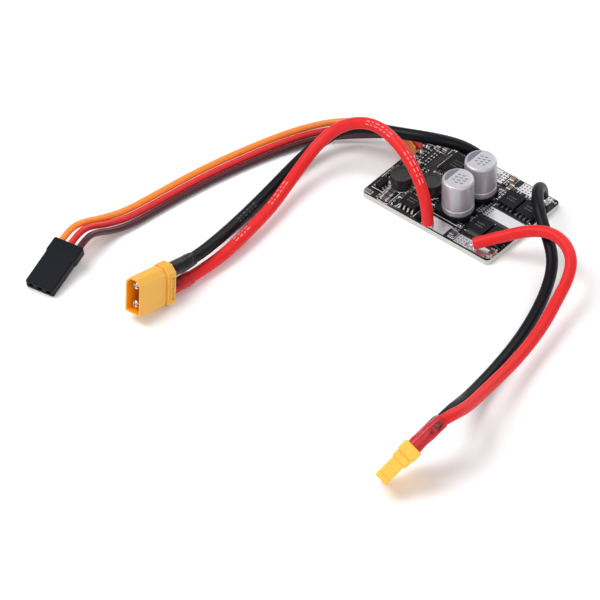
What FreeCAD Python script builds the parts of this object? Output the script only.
"""Electronic speed controller for a brushed motor: bare board, power leads and receiver lead.

Millimetres, +Z up.  The origin is the middle of the board's underside, X runs along the
board's long side and Y across it, from the battery-positive edge (-Y) to the negative edge (+Y).
"""
import FreeCAD, Part

import math
import os

import Sketcher
from FreeCAD import Placement, Rotation, Vector

doc = FreeCAD.newDocument("speed_controller")

# ---------------------------------------------------------------- driving dimensions (mm)

SIZES = (
    ("board_length", 40.0), ("board_width", 28.0), ("board_thickness", 1.6), ("board_corner", 1.2),
    ("pad_thickness", 0.1), ("power_pad_length", 7.0), ("power_pad_width", 3.9),
    ("motor_pad_length", 9.4), ("motor_pad_width", 3.0), ("servo_pad_side", 1.9),
    ("bar_length", 10.8), ("bar_width", 3.4), ("bar_height", 0.5),
    ("can_diameter", 8.0), ("can_height", 9.4), ("can_wall", 0.3), ("can_edge", 0.7),
    ("crimp_height", 1.7), ("crimp_radius", 0.45), ("seal_height", 1.2), ("element_diameter", 6.9),
    ("element_height", 7.2), ("base_side", 8.3), ("base_height", 1.0), ("base_chamfer", 2.2),
    ("terminal_length", 3.4), ("terminal_width", 0.9), ("terminal_height", 0.2),
    ("chip_length", 7.0), ("chip_width", 7.0), ("chip_height", 1.2), ("chip_lift", 0.15),
    ("chip_bevel", 0.12), ("dimple_radius", 0.25), ("dimple_depth", 0.1), ("dimple_inset", 0.6),
    ("regulator_length", 4.9), ("regulator_width", 3.9), ("regulator_height", 1.4),
    ("fet_length", 5.0), ("fet_width", 5.1), ("fet_height", 1.0), ("fet_metal_height", 0.3),
    ("fet_lead_width", 0.55), ("fet_lead_length", 0.7), ("fet_tab_width", 4.2), ("fet_tab_length", 0.5),
    ("driver_length", 1.7), ("driver_width", 2.9), ("driver_height", 1.1),
    ("transistor_length", 1.3), ("transistor_width", 2.9), ("transistor_height", 1.0),
    ("coil_diameter", 5.8), ("coil_height", 3.5), ("coil_flange", 0.7), ("coil_waist", 3.2),
    ("winding_diameter", 5.1), ("lead_thickness", 0.2),
    ("led_length", 1.6), ("led_width", 0.8), ("led_height", 0.6),
    ("ceramic_length", 2.0), ("ceramic_width", 1.25), ("ceramic_height", 0.9), ("ceramic_end", 0.35),
    ("resistor_length", 1.0), ("resistor_width", 0.55), ("resistor_height", 0.35), ("resistor_end", 0.22),
    ("wire_diameter", 3.0), ("strand_diameter", 1.7), ("servo_wire_diameter", 1.7),
    ("servo_strand_diameter", 0.8), ("sleeve_diameter", 3.9),
    ("mound_foot", 2.0), ("mound_top", 1.3), ("mound_height", 1.1),
    ("servo_mound_foot", 0.9), ("servo_mound_top", 0.5), ("servo_mound_height", 0.7),
    ("pin_pitch", 5.0), ("pin_diameter", 2.0), ("plug_height", 9.8), ("plug_thickness", 5.2),
    ("plug_length", 12.0), ("plug_flange", 3.0), ("flange_height", 10.2), ("flange_thickness", 5.9),
    ("plug_wall", 0.65), ("plug_chamfer", 1.5), ("plug_depth", 8.2), ("plug_pin_length", 7.2),
    ("pin_tip_chamfer", 0.3), ("hollow_chamfer", 1.1), ("socket_chamfer", 0.5),
    ("socket_grip_length", 3.3), ("socket_grip_height", 10.2), ("socket_grip_thickness", 5.2),
    ("socket_neck_length", 1.9), ("socket_neck_height", 9.6), ("socket_neck_thickness", 4.5),
    ("socket_nose_length", 6.2), ("socket_nose_height", 8.5), ("socket_nose_thickness", 3.7),
    ("contact_diameter", 2.9), ("socket_bore_depth", 7.5),
    ("servo_pitch", 2.54), ("servo_plug_length", 14.5), ("servo_plug_width", 7.8),
    ("servo_plug_height", 2.6), ("servo_collar_length", 4.6), ("servo_collar_proud", 0.25),
    ("servo_window_width", 1.3), ("servo_window_height", 1.1), ("servo_window_depth", 8.5),
    ("crimp_width", 1.5), ("crimp_thickness", 1.3), ("spring_length", 6.5), ("spring_width", 1.1),
    ("spring_thickness", 0.25),
)


def make_sheet():
    """Put every driving dimension in one spreadsheet, named by its alias."""
    cells = doc.addObject("Spreadsheet::Sheet", "Sizes")
    for row, (alias, value) in enumerate(SIZES, start=1):
        cells.set("A%d" % row, alias)
        cells.set("B%d" % row, str(value))
        cells.setAlias("B%d" % row, alias)
    doc.recompute()
    return cells


sheet = make_sheet()


def size(alias):
    """The value of one cell of the sheet, in millimetres."""
    return float(sheet.get(alias))


BOARD_TOP = size("board_thickness")
PAD_TOP = BOARD_TOP + size("pad_thickness")

# ---------------------------------------------------------------- places on the board (mm)

PADS = {
    "battery_positive_pad": ("power_pad", 2.0, -11.75),
    "battery_negative_pad": ("power_pad", 1.1, 11.75),
    "motor_positive_pad": ("motor_pad", 13.4, -12.1),
    "motor_negative_pad": ("motor_pad", 13.6, 12.2),
}
SERVO_PADS = ((-18.2, 3.9), (-18.2, 6.4), (-18.2, 8.9))
CAPACITORS = {"front_capacitor": (2.6, -4.35), "rear_capacitor": (2.6, 4.35)}
INDUCTORS = {"front_inductor": (-14.0, -5.5), "rear_inductor": (-6.9, -2.8)}
MICROCONTROLLER = (-6.9, 7.3)
REGULATOR = (-7.2, -9.95)
GATE_DRIVER = (-17.4, -9.3)
MOSFETS = {
    "rear_left_mosfet": (10.95, 6.3, 1),
    "rear_right_mosfet": (16.55, 6.3, 1),
    "front_left_mosfet": (10.95, -5.9, -1),
    "front_right_mosfet": (16.55, -5.9, -1),
}
CURRENT_BAR = (13.7, -0.1)
TRANSISTORS = ((-2.95, -11.4), (-16.6, -0.6), (-17.3, 11.55))
STATUS_LED = (-18.6, -13.0)

# Rows of bent leads: how many, how far apart, how far out, how wide and how high they start.
MICROCONTROLLER_LEADS = {"count": 12, "pitch": 0.5, "reach": 0.95, "width": 0.22, "rise": 0.75}
REGULATOR_LEADS = {"count": 4, "pitch": 1.27, "reach": 1.05, "width": 0.42, "rise": 0.85}
GATE_DRIVER_LEADS = {"count": 3, "pitch": 0.95, "reach": 0.65, "width": 0.4, "rise": 0.7}
TRANSISTOR_PAIR = {"count": 2, "pitch": 1.9, "reach": 0.55, "width": 0.4, "rise": 0.65}
TRANSISTOR_SINGLE = {"count": 1, "pitch": 1.9, "reach": 0.55, "width": 0.4, "rise": 0.65}
FET_LEAD_COUNT = 4
FET_LEAD_PITCH = 1.27
TERMINAL_OFFSET = 2.9

# Ceramic capacitors and resistors: middle of each, and 0 or 90 for the way it lies.
CERAMICS = (
    (-13.9, -9.6, 0), (-13.7, -11.25, 0), (-13.5, -12.9, 0), (-9.3, 1.8, 0), (-15.2, 1.7, 90),
    (-13.4, 10.6, 90), (-15.2, 10.6, 90), (6.3, 12.6, 90), (7.6, 9.7, 90), (7.4, -11.9, 90),
    (-10.3, -6.4, 90), (-10.6, -9.6, 90), (-18.3, -3.4, 0), (19.1, -11.4, 90), (-2.9, -8.2, 90),
)
RESISTORS = (
    (-16.4, 3.6, 0), (-16.4, 4.7, 0), (-16.4, 5.8, 0), (-16.4, 6.9, 0), (-16.4, 8.0, 0),
    (-14.3, 3.2, 0), (-14.3, 4.3, 0), (-14.3, 5.4, 0), (-14.3, 6.5, 0), (-14.3, 7.6, 0), (-14.3, 8.7, 0),
    (-13.2, 1.6, 90), (-12.0, 1.6, 90), (-11.4, 0.2, 0), (-18.9, 1.5, 0), (-18.9, 0.4, 0),
    (-18.9, -2.2, 90), (-18.9, -5.6, 90), (-17.7, -5.6, 90), (-15.6, -11.9, 90), (-15.6, -13.0, 90),
    (-11.4, -12.4, 90), (-11.4, -11.2, 90), (7.6, 2.0, 90), (7.6, 0.6, 90), (7.6, -0.8, 90), (7.6, 7.4, 90),
    (7.6, 6.2, 90), (7.6, 5.0, 90), (7.5, -9.6, 90), (6.6, -9.6, 90), (7.6, -3.6, 90), (7.6, -5.0, 90),
    (19.3, -9.4, 90), (19.3, -7.6, 90), (19.3, 2.4, 90), (14.6, -9.6, 0), (12.9, 10.1, 0), (10.2, 10.1, 0),
    (-10.0, 12.6, 0), (-8.0, 12.6, 0), (-6.0, 12.6, 0), (-12.0, 12.8, 0), (-3.2, -5.4, 90),
    (-3.2, 0.6, 90), (-3.2, 2.2, 90), (5.6, 10.2, 0),
)

# ---------------------------------------------------------------- leads and their connectors

# Middle of the rear face, way the mating end points, and way from positive to negative.
BATTERY_PLUG = (Vector(-32.86, -72.19, 5.41), Vector(-0.106, -0.977, 0.181), Vector(-0.127, 0.194, 0.973))
MOTOR_SOCKET = (Vector(53.7, -82.95, 9.48), Vector(-0.244, -0.820, -0.517), Vector(-0.472, 0.566, -0.676))
SERVO_PLUG = (Vector(-59.9, -77.2, 4.6), Vector(0.147, -0.963, -0.228), Vector(0.0344, -0.2255, 0.974))

# Each route starts at the solder joint and ends at the connector's rear face.
ROUTES = {
    "battery_positive_wire": (
        (0.1, -13.0, 3.1), (-0.4, -12.6, 5.4), (-2.5, -11.6, 10.0), (-7.0, -9.8, 14.2),
        (-13.8, -7.6, 16.6), (-21.7, -5.8, 16.6), (-27.9, -6.5, 14.6), (-32.3, -8.9, 11.6),
        (-34.2, -13.2, 8.6), (-34.4, -18.8, 6.0), (-33.6, -25.6, 4.2), (-31.9, -33.8, 3.4),
        (-30.8, -43.1, 3.2), (-30.2, -52.7, 2.8), (-30.9, -60.6, 2.3), (-32.118, -68.764, 2.254),
        (-32.542, -72.665, 2.976)),
    "battery_negative_wire": (
        (0.4, 11.4, 3.1), (-3.0, 11.3, 5.2), (-6.9, 9.4, 7.6), (-10.5, 6.7, 9.2),
        (-15.1, 4.1, 9.7), (-20.9, 2.0, 9.0), (-26.5, 0.8, 7.8), (-31.9, -0.9, 6.6),
        (-35.8, -4.3, 5.4), (-37.8, -9.8, 3.6), (-38.2, -18.3, 2.1), (-37.3, -28.6, 1.5),
        (-35.9, -39.1, 2.1), (-33.7, -51.0, 4.3), (-32.329, -63.883, 6.393), (-33.176, -71.695, 7.84)),
    "motor_positive_wire": (
        (15.1, -12.5, 3.6), (17.6, -10.3, 4.8), (21.3, -7.8, 6.8), (25.7, -5.2, 9.0),
        (30.7, -3.6, 10.4), (35.9, -4.0, 10.4), (40.4, -6.7, 9.6), (43.1, -11.1, 8.0),
        (44.7, -17.3, 6.2), (47.5, -26.8, 4.8), (50.0, -39.2, 4.8), (52.8, -53.9, 7.5),
        (56.45, -66.1, 12.0), (57.4, -72.5, 14.8), (56.832, -77.803, 15.307), (54.882, -84.358, 11.174)),
    "motor_negative_wire": (
        (16.0, 11.9, 3.1), (16.6, 11.0, 6.7), (18.0, 7.4, 9.5), (21.8, 2.9, 9.7),
        (25.7, -0.1, 8.2), (29.9, -2.8, 6.6), (33.9, -6.0, 5.2), (37.2, -11.0, 3.8),
        (40.5, -19.1, 2.5), (43.5, -29.6, 1.7), (46.2, -42.1, 2.3), (49.2, -57.3, 4.5),
        (53.4, -68.2, 11.1), (54.473, -74.971, 11.928), (52.523, -81.526, 7.796)),
    "servo_signal_wire": (
        (-18.2, 3.9, 2.7), (-19.6, 4.2, 4.6), (-22.4, 4.2, 5.8), (-26.8, 3.9, 6.2),
        (-32.6, 2.8, 5.4), (-39.5, -0.4, 4.0), (-45.6, -8.0, 2.9), (-50.6, -21.0, 2.7),
        (-54.6, -35.3, 2.7), (-56.9, -47.6, 2.7), (-58.6, -57.5, 2.9), (-60.7, -64.2, 3.9),
        (-62.5, -69.7, 5.4), (-63.002, -73.722, 5.514), (-62.414, -77.574, 4.602)),
    "servo_power_wire": (
        (-18.2, 6.4, 2.7), (-19.6, 6.3, 4.3), (-22.4, 5.8, 4.8), (-26.8, 4.6, 4.4),
        (-32.4, 2.5, 3.6), (-38.6, -1.4, 2.7), (-44.2, -8.6, 2.0), (-49.1, -21.4, 1.8),
        (-53.1, -35.7, 1.8), (-55.4, -48.0, 1.8), (-57.1, -57.9, 2.0), (-59.1, -64.4, 3.0),
        (-60.4, -69.2, 5.0), (-60.489, -73.338, 5.514), (-59.901, -77.19, 4.602)),
    "servo_ground_wire": (
        (-18.2, 8.9, 2.7), (-19.6, 8.4, 4.0), (-22.4, 7.4, 3.9), (-26.8, 5.3, 2.7),
        (-32.2, 2.2, 1.8), (-37.7, -2.4, 1.4), (-42.8, -9.2, 1.1), (-47.6, -21.8, 0.9),
        (-51.6, -36.1, 0.9), (-53.9, -48.4, 0.9), (-55.5, -58.3, 1.0), (-57.2, -64.3, 1.9),
        (-58.0, -68.9, 4.2), (-57.976, -72.954, 5.514), (-57.388, -76.806, 4.602)),
}
# Where each power wire's bare strands meet their pad.
SOLDER_FEET = {
    "battery_positive_wire": (0.2, -13.0),
    "battery_negative_wire": (1.2, 11.5),
    "motor_positive_wire": (13.6, -12.4),
    "motor_negative_wire": (15.9, 12.1),
}
# The sleeve on each power wire, and how far it reaches back from the connector.
SLEEVES = {
    "battery_positive_sleeve": ("battery_positive_wire", 7.5),
    "battery_negative_sleeve": ("battery_negative_wire", 8.5),
    "motor_positive_sleeve": ("motor_positive_wire", 9.2),
    "motor_negative_sleeve": ("motor_negative_wire", 9.0),
}
ARC_SHARE = 0.45
TOUCH = 0.01
FORWARD = Vector(1, 0, 0)

sub_parts = []

# ---------------------------------------------------------------- shared makers


def keep(part, label):
    """Name a finished sub-part and add it to the list that is written."""
    part.Label = label
    sub_parts.append(part)
    return part


def cell(alias):
    """The expression that reads one alias."""
    return "Sizes." + alias


def block(name, lengths, middle, floor):
    """A box whose footprint is centred on middle and whose underside is at floor.

    The three lengths and the floor are expressions.
    """
    solid = doc.addObject("Part::Box", name)
    for prop, expression in zip(("Length", "Width", "Height"), lengths):
        solid.setExpression(prop, expression)
    solid.setExpression(".Placement.Base.x", "%g - (%s) / 2" % (middle[0], lengths[0]))
    solid.setExpression(".Placement.Base.y", "%g - (%s) / 2" % (middle[1], lengths[1]))
    solid.setExpression(".Placement.Base.z", floor)
    return solid


def cylinder(name, diameter, height, middle, floor):
    """An upright cylinder; diameter, height and floor are expressions."""
    solid = doc.addObject("Part::Cylinder", name)
    solid.setExpression("Radius", "(%s) / 2" % diameter)
    solid.setExpression("Height", height)
    solid.Placement = Placement(Vector(middle[0], middle[1], 0), Rotation())
    solid.setExpression(".Placement.Base.z", floor)
    return solid


def group(label, solids):
    """Several like solids in one sub-part."""
    compound = doc.addObject("Part::Compound", label)
    compound.Links = solids
    return keep(compound, label)


def feature(label, shape, place=None):
    """A sub-part whose shape is worked out in code."""
    part = doc.addObject("Part::Feature", label)
    part.Shape = shape
    if place is not None:
        part.Placement = place
    return keep(part, label)


def frame(origin, forward, up):
    """The placement of a connector: local X points forward and local Z up."""
    side = up.cross(forward)
    return Placement(origin, Rotation(forward, side, up, "XZY"))


def plane(body, role):
    """One of a body's own origin planes."""
    return [item for item in body.Origin.OriginFeatures if item.Role == role][0]


def new_body(label):
    """An empty body that is kept as a sub-part."""
    return keep(doc.addObject("PartDesign::Body", label), label)


def primitive(body, kind, name, sizes, base=(0, 0, 0)):
    """Add or subtract one primitive; sizes maps each property to an expression."""
    item = body.newObject("PartDesign::" + kind, name)
    for prop, expression in sizes.items():
        item.setExpression(prop, expression)
    for axis, value in zip("xyz", base):
        item.setExpression(".Placement.Base." + axis, str(value))
    return item


def stand(body, middle, floor):
    """Place a body at a spot on the board, with its base at the height given by an expression."""
    body.Placement = Placement(Vector(middle[0], middle[1], 0), Rotation())
    body.setExpression(".Placement.Base.z", floor)


def edges_at(shape, test):
    """Names of the edges whose middle passes the test."""
    return ["Edge%d" % (index + 1) for index, edge in enumerate(shape.Edges) if test(edge.CenterOfMass)]


# ---------------------------------------------------------------- the board and its copper


def rounded_sketch(body, name, length, width, radius):
    """A rounded rectangle about the origin; length, width and radius are expressions."""
    sketch = body.newObject("Sketcher::SketchObject", name)
    sketch.AttachmentSupport = [(plane(body, "XY_Plane"), "")]
    sketch.MapMode = "FlatFace"
    half_x, half_y, r = size("board_length") / 2, size("board_width") / 2, size("board_corner")
    corners = ((half_x, half_y, 0), (-half_x, half_y, 90), (-half_x, -half_y, 180), (half_x, -half_y, 270))
    lines = (((half_x - r, half_y), (r - half_x, half_y)), ((-half_x, half_y - r), (-half_x, r - half_y)),
             ((r - half_x, -half_y), (half_x - r, -half_y)), ((half_x, r - half_y), (half_x, half_y - r)))
    for (ax, ay), (bx, by) in lines:
        sketch.addGeometry(Part.LineSegment(Vector(ax, ay, 0), Vector(bx, by, 0)))
    for x, y, start in corners:
        centre = Vector(x - math.copysign(r, x), y - math.copysign(r, y), 0)
        circle = Part.Circle(centre, Vector(0, 0, 1), r)
        sketch.addGeometry(Part.ArcOfCircle(circle, math.radians(start), math.radians(start + 90)))
    for line in range(4):
        arc = 4 + line
        next_arc = 4 + (line + 1) % 4
        sketch.addConstraint(Sketcher.Constraint("Tangent", arc, 2, line, 1))
        sketch.addConstraint(Sketcher.Constraint("Tangent", line, 2, next_arc, 1))
    for line, kind in ((0, "Horizontal"), (1, "Vertical"), (2, "Horizontal"), (3, "Vertical")):
        sketch.addConstraint(Sketcher.Constraint(kind, line))
    for arc in (5, 6, 7):
        sketch.addConstraint(Sketcher.Constraint("Equal", 4, arc))
    sketch.addConstraint(Sketcher.Constraint("Symmetric", 4, 3, 6, 3, -1, 1))
    for constraint, expression in ((Sketcher.Constraint("Radius", 4, r), radius),
                                   (Sketcher.Constraint("DistanceX", 6, 3, 4, 3, 2 * (half_x - r)),
                                    "%s - 2 * %s" % (length, radius)),
                                   (Sketcher.Constraint("DistanceY", 6, 3, 4, 3, 2 * (half_y - r)),
                                    "%s - 2 * %s" % (width, radius))):
        index = sketch.addConstraint(constraint)
        sketch.setExpression("Constraints[%d]" % index, expression)
    return sketch


def make_board():
    """The bare laminate with rounded corners."""
    body = new_body("circuit_board")
    sketch = rounded_sketch(body, "board_outline", cell("board_length"), cell("board_width"),
                            cell("board_corner"))
    pad = body.newObject("PartDesign::Pad", "board_pad")
    pad.Profile = sketch
    pad.setExpression("Length", cell("board_thickness"))


def make_pads():
    """Tinned solder pads for the power and receiver leads, and the tinned current bar."""
    for label, (kind, x, y) in PADS.items():
        lengths = (cell(kind + "_length"), cell(kind + "_width"), cell("pad_thickness"))
        keep(block(label, lengths, (x, y), cell("board_thickness")), label)
    lengths = (cell("servo_pad_side"), cell("servo_pad_side"), cell("pad_thickness"))
    pads = [block("servo_pad", lengths, place, cell("board_thickness")) for place in SERVO_PADS]
    group("servo_pads", pads)
    lengths = (cell("bar_length"), cell("bar_width"), cell("bar_height"))
    keep(block("current_bar", lengths, CURRENT_BAR, cell("board_thickness")), "current_bar")


# ---------------------------------------------------------------- capacitors and inductors


def make_capacitor(label, middle):
    """One surface-mounted polymer capacitor: base, can, seal, wound element and terminals."""
    floor = cell("board_thickness")
    base_floor = floor + " + " + cell("terminal_height")
    base = new_body(label + "_base")
    block_sizes = {"Length": cell("base_side"), "Width": cell("base_side"), "Height": cell("base_height")}
    half = "-" + cell("base_side") + " / 2"
    plate = primitive(base, "AdditiveBox", label + "_base_block", block_sizes, (half, half, 0))
    doc.recompute()
    chamfer = base.newObject("PartDesign::Chamfer", label + "_base_chamfer")
    chamfer.Base = (plate, edges_at(plate.Shape, lambda p: p.x > 4 and abs(p.y) > 4))
    chamfer.setExpression("Size", cell("base_chamfer"))
    stand(base, middle, base_floor)

    can = new_body(label + "_can")
    wall = primitive(can, "AdditiveCylinder", label + "_can_wall",
                     {"Radius": cell("can_diameter") + " / 2", "Height": cell("can_height")})
    doc.recompute()
    rounding = can.newObject("PartDesign::Fillet", label + "_can_edge")
    rounding.Base = (wall, edges_at(wall.Shape, lambda p: p.z > 5 and abs(p.x) < 1))
    rounding.setExpression("Radius", cell("can_edge"))
    primitive(can, "SubtractiveTorus", label + "_crimp",
              {"Radius1": "%s / 2 + %s * 0.45" % (cell("can_diameter"), cell("crimp_radius")),
               "Radius2": cell("crimp_radius")}, (0, 0, cell("crimp_height")))
    primitive(can, "SubtractiveCylinder", label + "_can_hollow",
              {"Radius": cell("element_diameter") + " / 2 + 0.05",
               "Height": cell("can_height") + " - " + cell("can_wall")})
    seal_floor = base_floor + " + " + cell("base_height")
    stand(can, middle, seal_floor)
    element_floor = seal_floor + " + " + cell("seal_height")
    keep(cylinder(label + "_seal", cell("element_diameter"), cell("seal_height"), middle, seal_floor),
         label + "_seal")
    keep(cylinder(label + "_element", cell("element_diameter"), cell("element_height"), middle,
                  element_floor), label + "_element")

    lengths = (cell("terminal_length"), cell("terminal_width"), cell("terminal_height"))
    places = [(middle[0] + TERMINAL_OFFSET * way, middle[1]) for way in (-1, 1)]
    group(label + "_terminals", [block(label + "_terminal", lengths, place, floor) for place in places])


def make_inductor(label, middle):
    """One drum-core inductor: a ferrite bobbin and the winding round its waist."""
    floor = cell("board_thickness")
    flange = cell("coil_flange")
    upper = "%s - %s" % (cell("coil_height"), flange)
    core = new_body(label + "_core")
    for name, diameter, low, high in (("foot", "coil_diameter", "0", flange),
                                      ("waist", "coil_waist", flange, upper),
                                      ("cap", "coil_diameter", upper, cell("coil_height"))):
        primitive(core, "AdditiveCylinder", "%s_%s" % (label, name),
                  {"Radius": cell(diameter) + " / 2", "Height": "(%s) - (%s)" % (high, low)}, (0, 0, low))
    stand(core, middle, floor)

    height = "%s - 2 * %s" % (cell("coil_height"), flange)
    winding_floor = "%s + %s" % (floor, flange)
    outside = cylinder(label + "_turns", cell("winding_diameter"), height, middle, winding_floor)
    inside = cylinder(label + "_bore", cell("coil_waist"), height, middle, winding_floor)
    winding = doc.addObject("Part::Cut", label + "_winding")
    winding.Base = outside
    winding.Tool = inside
    keep(winding, label + "_winding")


# ---------------------------------------------------------------- chips and their leads


def lead_shape(reach, width, rise):
    """A bent lead from a chip's side (at the origin) out along +X and down to z = -rise."""
    thick = size("lead_thickness")
    outline = ((0, 0), (reach * 0.35, 0), (reach * 0.6, thick - rise), (reach, thick - rise),
               (reach, -rise), (reach * 0.45, -rise), (reach * 0.25, -thick), (0, -thick), (0, 0))
    wire = Part.makePolygon([Vector(x, -width / 2, z) for x, z in outline])
    return Part.Face(wire).extrude(Vector(0, width, 0))


def lead_row(centre, outward, half_depth, count, pitch, reach, width, rise):
    """A row of leads along one side of a chip; outward is that side's angle in degrees."""
    turn = Rotation(Vector(0, 0, 1), outward)
    leads = []
    for index in range(count):
        across = (index - (count - 1) / 2) * pitch
        lead = lead_shape(reach, width, rise)
        offset = turn.multVec(Vector(half_depth, across, 0))
        lead.Placement = Placement(Vector(centre[0], centre[1], BOARD_TOP + rise) + offset, turn)
        leads.append(lead)
    return leads


def chip_body(label, kind, middle):
    """A moulded package, lifted clear of the board, with a small pin-one dimple."""
    lift = cell("board_thickness") + " + " + cell("chip_lift")
    body = new_body(label)
    lengths = [cell("%s_%s" % (kind, word)) for word in ("length", "width", "height")]
    sizes = dict(zip(("Length", "Width", "Height"), lengths))
    mould = primitive(body, "AdditiveBox", label + "_mould", sizes,
                      ("-%s / 2" % lengths[0], "-%s / 2" % lengths[1], 0))
    doc.recompute()
    bevel = body.newObject("PartDesign::Chamfer", label + "_bevel")
    top = size(kind + "_height")
    bevel.Base = (mould, edges_at(mould.Shape, lambda p: abs(p.z - top) < 0.01))
    bevel.setExpression("Size", cell("chip_bevel"))
    primitive(body, "SubtractiveCylinder", label + "_dimple",
              {"Radius": cell("dimple_radius"), "Height": "2 * " + cell("dimple_depth")},
              ("%s - %s / 2" % (cell("dimple_inset"), lengths[0]),
               "%s - %s / 2" % (cell("dimple_inset"), lengths[1]),
               "%s - %s" % (lengths[2], cell("dimple_depth"))))
    stand(body, middle, lift)


def make_microcontroller():
    """A square flat package with twelve leads on each side."""
    chip_body("microcontroller", "chip", MICROCONTROLLER)
    leads = []
    for outward in (0, 90, 180, 270):
        leads += lead_row(MICROCONTROLLER, outward, size("chip_length") / 2, **MICROCONTROLLER_LEADS)
    feature("microcontroller_leads", Part.makeCompound(leads))


def make_regulator():
    """An eight-lead voltage regulator."""
    chip_body("voltage_regulator", "regulator", REGULATOR)
    leads = []
    for outward in (90, 270):
        leads += lead_row(REGULATOR, outward, size("regulator_width") / 2, **REGULATOR_LEADS)
    feature("voltage_regulator_leads", Part.makeCompound(leads))


def make_gate_driver():
    """A small six-lead bridge driver."""
    chip_body("gate_driver", "driver", GATE_DRIVER)
    leads = []
    for outward in (0, 180):
        leads += lead_row(GATE_DRIVER, outward, size("driver_length") / 2, **GATE_DRIVER_LEADS)
    feature("gate_driver_leads", Part.makeCompound(leads))


def make_transistors():
    """Three-lead transistors: moulded bodies in one group, leads in another."""
    lengths = [cell("transistor_" + word) for word in ("length", "width", "height")]
    floor = cell("board_thickness") + " + " + cell("chip_lift")
    group("transistors", [block("transistor", lengths, middle, floor) for middle in TRANSISTORS])
    leads = []
    for middle in TRANSISTORS:
        leads += lead_row(middle, 0, size("transistor_length") / 2, **TRANSISTOR_PAIR)
        leads += lead_row(middle, 180, size("transistor_length") / 2, **TRANSISTOR_SINGLE)
    feature("transistor_leads", Part.makeCompound(leads))


def make_mosfets():
    """Four power transistors in two facing pairs, their signal leads and their drain tabs."""
    lengths = [cell("fet_" + word) for word in ("length", "width", "height")]
    lead_lengths = [cell("fet_" + word) for word in ("lead_width", "lead_length", "metal_height")]
    tab_lengths = [cell("fet_" + word) for word in ("tab_width", "tab_length", "metal_height")]
    board = cell("board_thickness")
    floor = "%s + %s" % (board, cell("lead_thickness"))
    leads = []
    tabs = []
    for label, (x, y, way) in MOSFETS.items():
        keep(block(label, lengths, (x, y), floor), label)
        lead_y = y - way * (size("fet_width") + size("fet_lead_length")) / 2
        tab_y = y + way * (size("fet_width") + size("fet_tab_length")) / 2
        for index in range(FET_LEAD_COUNT):
            lead_x = x + (index - (FET_LEAD_COUNT - 1) / 2) * FET_LEAD_PITCH
            leads.append(block("mosfet_lead", lead_lengths, (lead_x, lead_y), board))
        tabs.append(block("drain_tab", tab_lengths, (x, tab_y), board))
    group("mosfet_leads", leads)
    group("mosfet_drain_tabs", tabs)


def chip_parts(kind, places):
    """Small two-ended chips: their bodies in one group and their tinned ends in another."""
    floor = cell("board_thickness")
    words = ("length", "width", "height", "end")
    length, width, height, end = [cell("%s_%s" % (kind, word)) for word in words]
    inner = "%s - 2 * %s" % (length, end)
    reach = (size(kind + "_length") - size(kind + "_end")) / 2
    bodies = []
    ends = []
    for x, y, angle in places:
        lies_along_x = angle == 0
        lengths = (inner, width, height) if lies_along_x else (width, inner, height)
        bodies.append(block(kind + "_body", lengths, (x, y), floor))
        for way in (-reach, reach):
            place = (x + way, y) if lies_along_x else (x, y + way)
            lengths = (end, width, height) if lies_along_x else (width, end, height)
            ends.append(block(kind + "_end", lengths, place, floor))
    return bodies, ends


def make_small_chips():
    """The ceramic capacitors and the resistors that fill the rest of the board."""
    for label, kind, places in (("ceramic_capacitor", "ceramic", CERAMICS),
                                ("resistor", "resistor", RESISTORS)):
        bodies, ends = chip_parts(kind, places)
        group(label + "s", bodies)
        group(label + "_ends", ends)


def make_status_led():
    """A small clear light in one corner."""
    lengths = [cell("led_" + word) for word in ("length", "width", "height")]
    keep(block("status_led", lengths, STATUS_LED, cell("board_thickness")), "status_led")


# ---------------------------------------------------------------- wires, sleeves and solder


def route_edges(points):
    """Straight runs joined by tangent arcs; returns the edges and each arc's radius."""
    points = [Vector(*point) for point in points]
    edges = []
    radii = []
    start = points[0]
    for before, corner, after in zip(points, points[1:], points[2:]):
        to_before = before - corner
        to_after = after - corner
        reach = ARC_SHARE * min(to_before.Length, to_after.Length)
        turn = math.pi - to_before.getAngle(to_after)
        radius = reach / math.tan(turn / 2)
        to_before.normalize()
        to_after.normalize()
        first = corner + to_before * reach
        last = corner + to_after * reach
        middle_way = to_before + to_after
        middle_way.normalize()
        middle = corner + middle_way * (radius / math.cos(turn / 2) - radius)
        edges.append(Part.LineSegment(start, first).toShape())
        edges.append(Part.Arc(first, middle, last).toShape())
        radii.append(radius)
        start = last
    edges.append(Part.LineSegment(start, points[-1]).toShape())
    return edges, radii


def sweep(edges, diameter):
    """A round bar along tangent edges."""
    start = edges[0].valueAt(edges[0].FirstParameter)
    along = edges[0].tangentAt(edges[0].FirstParameter)
    section = Part.Wire(Part.makeCircle(diameter / 2, start, along))
    return Part.Wire(edges).makePipeShell([section], True, False)


def tail_edges(edges, length):
    """The last stretch of a route, as long as asked."""
    left = length
    kept = []
    for edge in reversed(edges):
        if edge.Length >= left:
            first = edge.getParameterByLength(edge.Length - left)
            kept.append(edge.Curve.toShape(first, edge.LastParameter))
            break
        kept.append(edge)
        left -= edge.Length
    return kept[::-1]


def is_servo(label):
    """Whether a wire belongs to the receiver lead."""
    return label.startswith("servo")


def make_wires():
    """The seven insulated wires, with a check of each one's radii and volume."""
    paths = {}
    for label, points in ROUTES.items():
        diameter = size("servo_wire_diameter" if is_servo(label) else "wire_diameter")
        edges, radii = route_edges(points)
        paths[label] = edges
        shape = sweep(edges, diameter)
        length = sum(edge.Length for edge in edges)
        expected = math.pi * diameter ** 2 / 4 * length
        print("%s length %.1f mm, radii %s, volume ratio %.4f"
              % (label, length, [round(radius, 1) for radius in radii], shape.Volume / expected))
        if abs(shape.Volume / expected - 1) > 0.01:
            raise ValueError(label + " has the wrong volume")
        feature(label, shape)
    return paths


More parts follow.
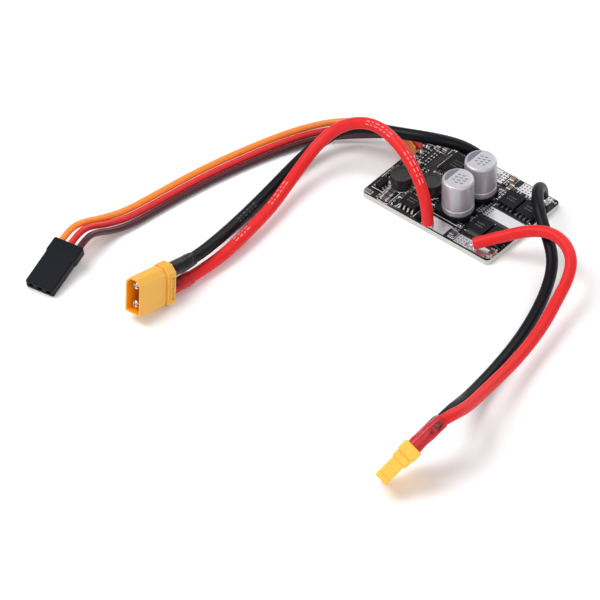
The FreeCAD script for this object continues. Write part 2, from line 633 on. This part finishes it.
def make_sleeves(paths):
    """Shrink sleeves over the wires' soldered ends at both power connectors."""
    for label, (wire, length) in SLEEVES.items():
        edges = tail_edges(paths[wire], length)
        tube = sweep(edges, size("sleeve_diameter")).cut(sweep(paths[wire][-6:], size("wire_diameter")))
        feature(label, tube)


def pad_room(label):
    """The space over the pad that a wire is soldered to."""
    if is_servo(label):
        x, y = ROUTES[label][0][:2]
        length = width = size("servo_pad_side")
    else:
        kind, x, y = PADS[label.replace("_wire", "_pad")]
        length = size(kind + "_length")
        width = size(kind + "_width")
    return Part.makeBox(length, width, size("wire_diameter"), Vector(x - length / 2, y - width / 2, PAD_TOP))


def make_joints(paths):
    """Bare strands that leave each wire, and the solder mound that holds them on the pad."""
    strands = []
    mounds = []
    for label, edges in paths.items():
        kind = "servo_" if is_servo(label) else ""
        room = pad_room(label)
        insulation = sweep(edges[:3], size(kind + "wire_diameter"))
        strand_radius = size(kind + "strand_diameter") / 2
        start = Vector(*ROUTES[label][0])
        foot = Vector(*SOLDER_FEET.get(label, ROUTES[label][0][:2]), PAD_TOP + strand_radius)
        down = foot - start
        strand = Part.makeCylinder(strand_radius, down.Length, start, down).cut(insulation)
        radii = (size(kind + "mound_foot"), size(kind + "mound_top"))
        mound = Part.makeCone(*radii, size(kind + "mound_height"), Vector(foot.x, foot.y, PAD_TOP))
        strands.append(strand)
        mounds.append(mound.common(room).cut(strand).cut(insulation))
    feature("bare_strands", Part.makeCompound(strands))
    feature("solder_joints", Part.makeCompound(mounds))


# ---------------------------------------------------------------- connectors


def centred_box(length, width, height, start=0.0):
    """A box centred on the local X axis that starts at the given distance along it."""
    return Part.makeBox(length, width, height, Vector(start, -width / 2, -height / 2))


def chamfered(solid, distance, test):
    """Chamfer the edges whose middle passes the test."""
    return solid.makeChamfer(distance, [edge for edge in solid.Edges if test(edge.CenterOfMass)])


def keyed_box(length, width, height, start, corner):
    """A centred box whose two upper long edges are cut off, so that the plug mates one way round."""
    solid = centred_box(length, width, height, start)
    return chamfered(solid, corner, lambda p: abs(p.z - height / 2) < TOUCH
                     and abs(abs(p.y) - width / 2) < TOUCH)


def make_battery_plug():
    """The battery side: a shroud round two pins, and a ribbed flange at the rear."""
    flange_length = size("plug_flange")
    length = size("plug_length")
    height = size("plug_height")
    thickness = size("plug_thickness")
    wall = size("plug_wall")
    corner = size("plug_chamfer")
    floor = length - size("plug_depth")
    shroud = keyed_box(length - flange_length, thickness, height, flange_length, corner)
    flange = keyed_box(flange_length, size("flange_thickness"), size("flange_height"), 0.0, corner)
    hollow = keyed_box(size("plug_depth"), thickness - 2 * wall, height - 2 * wall, floor,
                       size("hollow_chamfer"))
    housing = shroud.fuse(flange).cut(hollow).removeSplitter()
    pins = []
    for way in (-1, 1):
        centre = Vector(0, 0, way * size("pin_pitch") / 2)
        pin_start = centre + Vector(floor, 0, 0)
        pin = Part.makeCylinder(size("pin_diameter") / 2, size("plug_pin_length"), pin_start, FORWARD)
        tip_face = floor + size("plug_pin_length")
        tip = chamfered(pin, size("pin_tip_chamfer"), lambda p: abs(p.x - tip_face) < TOUCH)
        shank = Part.makeCylinder(size("contact_diameter") / 2, floor, centre, FORWARD)
        housing = housing.cut(shank)
        pins.append(shank.fuse(tip).removeSplitter())
    place = frame(*BATTERY_PLUG)
    feature("battery_plug_housing", housing, place)
    feature("battery_plug_pins", Part.makeCompound(pins), place)


def make_motor_socket():
    """The motor side: a stepped housing with two tubular contacts."""
    start = 0.0
    housing = None
    for step in ("grip", "neck", "nose"):
        length, height, thickness = [size("socket_%s_%s" % (step, word))
                                     for word in ("length", "height", "thickness")]
        middle = start + length / 2
        piece = chamfered(centred_box(length, thickness, height, start), size("socket_chamfer"),
                          lambda p, x=middle: abs(p.x - x) < TOUCH)
        housing = piece if housing is None else housing.fuse(piece)
        start += length
    housing = housing.removeSplitter()
    contacts = []
    for way in (-1, 1):
        centre = Vector(0, 0, way * size("pin_pitch") / 2)
        barrel = Part.makeCylinder(size("contact_diameter") / 2, start, centre, FORWARD)
        bore_end = centre + Vector(start - size("socket_bore_depth"), 0, 0)
        bore = Part.makeCylinder(size("pin_diameter") / 2, size("socket_bore_depth"), bore_end, FORWARD)
        housing = housing.cut(barrel)
        contacts.append(barrel.cut(bore))
    place = frame(*MOTOR_SOCKET)
    feature("motor_socket_housing", housing, place)
    feature("motor_socket_contacts", Part.makeCompound(contacts), place)


def make_servo_plug():
    """The three-way receiver plug: a flat housing with a thicker collar and three contacts."""
    length = size("servo_plug_length")
    width = size("servo_plug_width")
    height = size("servo_plug_height")
    proud = size("servo_collar_proud")
    housing = centred_box(length, width, height)
    collar = centred_box(size("servo_collar_length"), width + 2 * proud, height)
    housing = housing.fuse(collar).removeSplitter()
    depth = size("servo_window_depth")
    contacts = []
    for slot in (-1, 0, 1):
        across = slot * size("servo_pitch")
        window = centred_box(depth, size("servo_window_width"), size("servo_window_height"), length - depth)
        window.translate(Vector(0, across, 0))
        crimp = centred_box(length - depth, size("crimp_width"), size("crimp_thickness"))
        crimp.translate(Vector(0, across, 0))
        spring = centred_box(size("spring_length"), size("spring_width"), size("spring_thickness"),
                             length - depth)
        spring_drop = (size("servo_window_height") - size("spring_thickness")) / 2
        spring.translate(Vector(0, across, -spring_drop))
        housing = housing.cut(window).cut(crimp)
        contacts.append(crimp.fuse(spring).removeSplitter())
    place = frame(*SERVO_PLUG)
    feature("servo_plug_housing", housing, place)
    feature("servo_plug_contacts", Part.makeCompound(contacts), place)


# ---------------------------------------------------------------- make, check and write


def check_parts():
    """Stop if anything in the document failed or any sub-part has no sound shape."""
    doc.recompute()
    for item in doc.Objects:
        if "Invalid" in item.State or "Error" in item.State:
            raise ValueError(item.Label + " failed: " + str(item.State))
    for part in sub_parts:
        if part.Shape.isNull() or not part.Shape.isValid():
            raise ValueError(part.Label + " has no valid shape")
        if part.Shape.Volume <= 0:
            raise ValueError(part.Label + " is empty")


def write_parts():
    """One STEP file for each sub-part, named by its label."""
    os.makedirs("parts", exist_ok=True)
    for part in sub_parts:
        part.Shape.exportStep("parts/%s.step" % part.Label)
    print("wrote %d sub-parts" % len(sub_parts))


make_board()
make_pads()
for name, middle in CAPACITORS.items():
    make_capacitor(name, middle)
for name, middle in INDUCTORS.items():
    make_inductor(name, middle)
make_microcontroller()
make_regulator()
make_gate_driver()
make_transistors()
make_mosfets()
make_small_chips()
make_status_led()
wire_paths = make_wires()
make_sleeves(wire_paths)
make_joints(wire_paths)
make_battery_plug()
make_motor_socket()
make_servo_plug()
check_parts()
write_parts()
